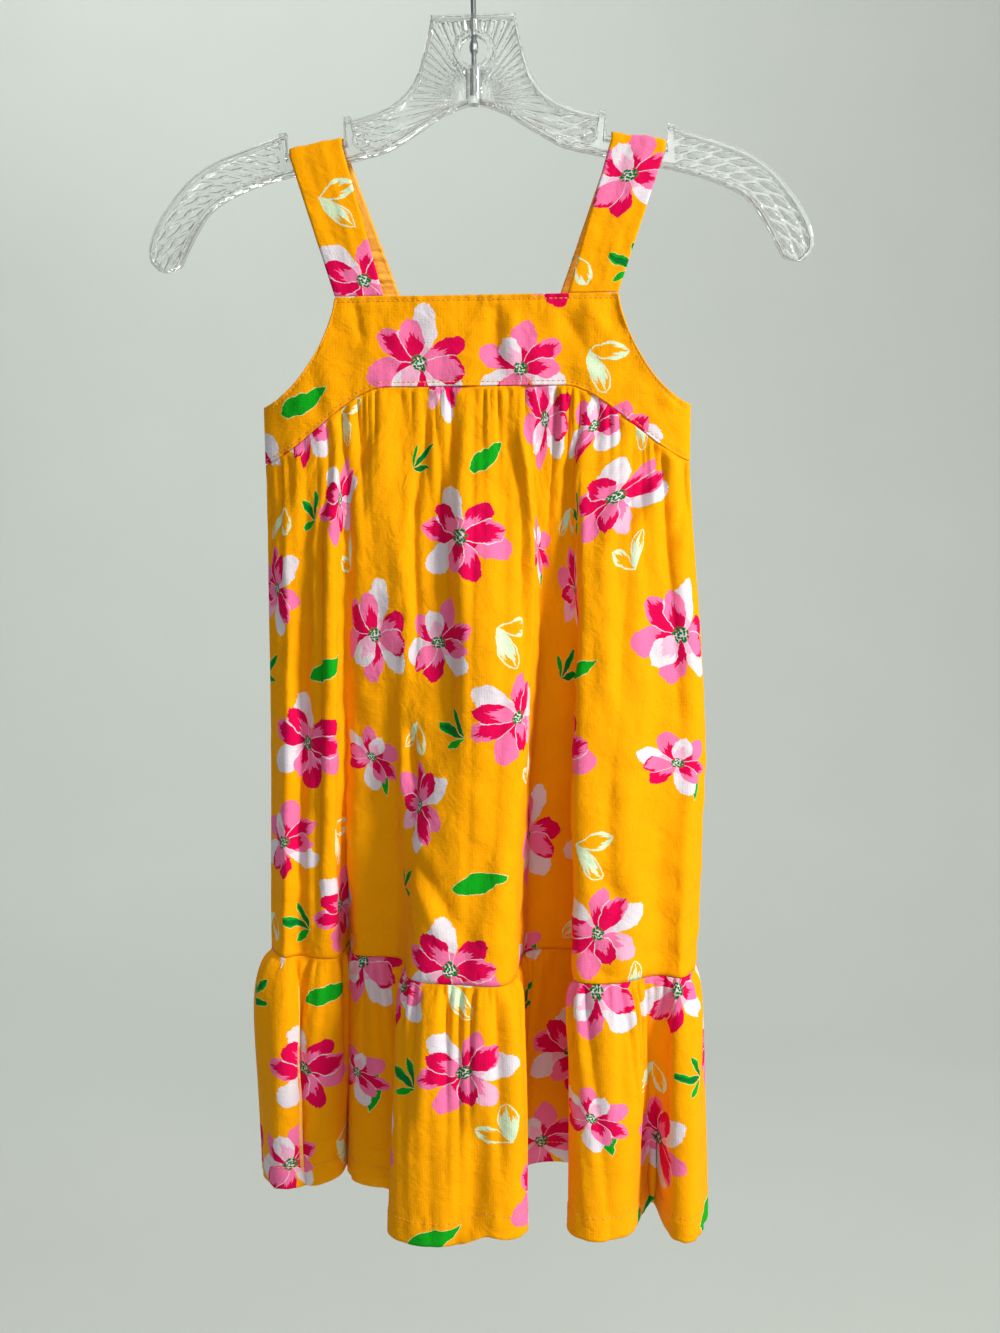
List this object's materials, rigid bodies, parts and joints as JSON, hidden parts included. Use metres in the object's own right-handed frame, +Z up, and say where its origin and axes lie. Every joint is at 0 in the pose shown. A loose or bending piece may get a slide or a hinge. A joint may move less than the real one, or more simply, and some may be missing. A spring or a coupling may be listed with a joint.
{
  "type": "sundress on a clothes hanger",
  "caption": "Small girl's cotton sundress with flat yoke, wide straps, gathered skirt and ruffle hem, hung on a clear clothes hanger.",
  "frame": {"origin": "inside of the top of the hanger's hook, where a rail or nail carries it", "axes": "+Z up along the hook's stem, +X to the right seen from in front of the dress, the front faces -Y"},
  "size_m": [0.356, 0.1103, 0.7121],
  "materials": {
    "printed_cotton": "soft printed plain-weave cotton",
    "clear_plastic": "clear injection-moulded polystyrene with cut facets",
    "bright_wire": "bright plated steel wire"
  },
  "bodies": {
    "root": {"front_yoke": "printed_cotton", "back_yoke": "printed_cotton", "strap_left": "printed_cotton", "strap_right": "printed_cotton", "skirt_front": "printed_cotton", "skirt_back": "printed_cotton", "ruffle_front": "printed_cotton", "ruffle_back": "printed_cotton", "hanger_body": "clear_plastic", "hanger_hook": "bright_wire"}
  },
  "joints": []
}
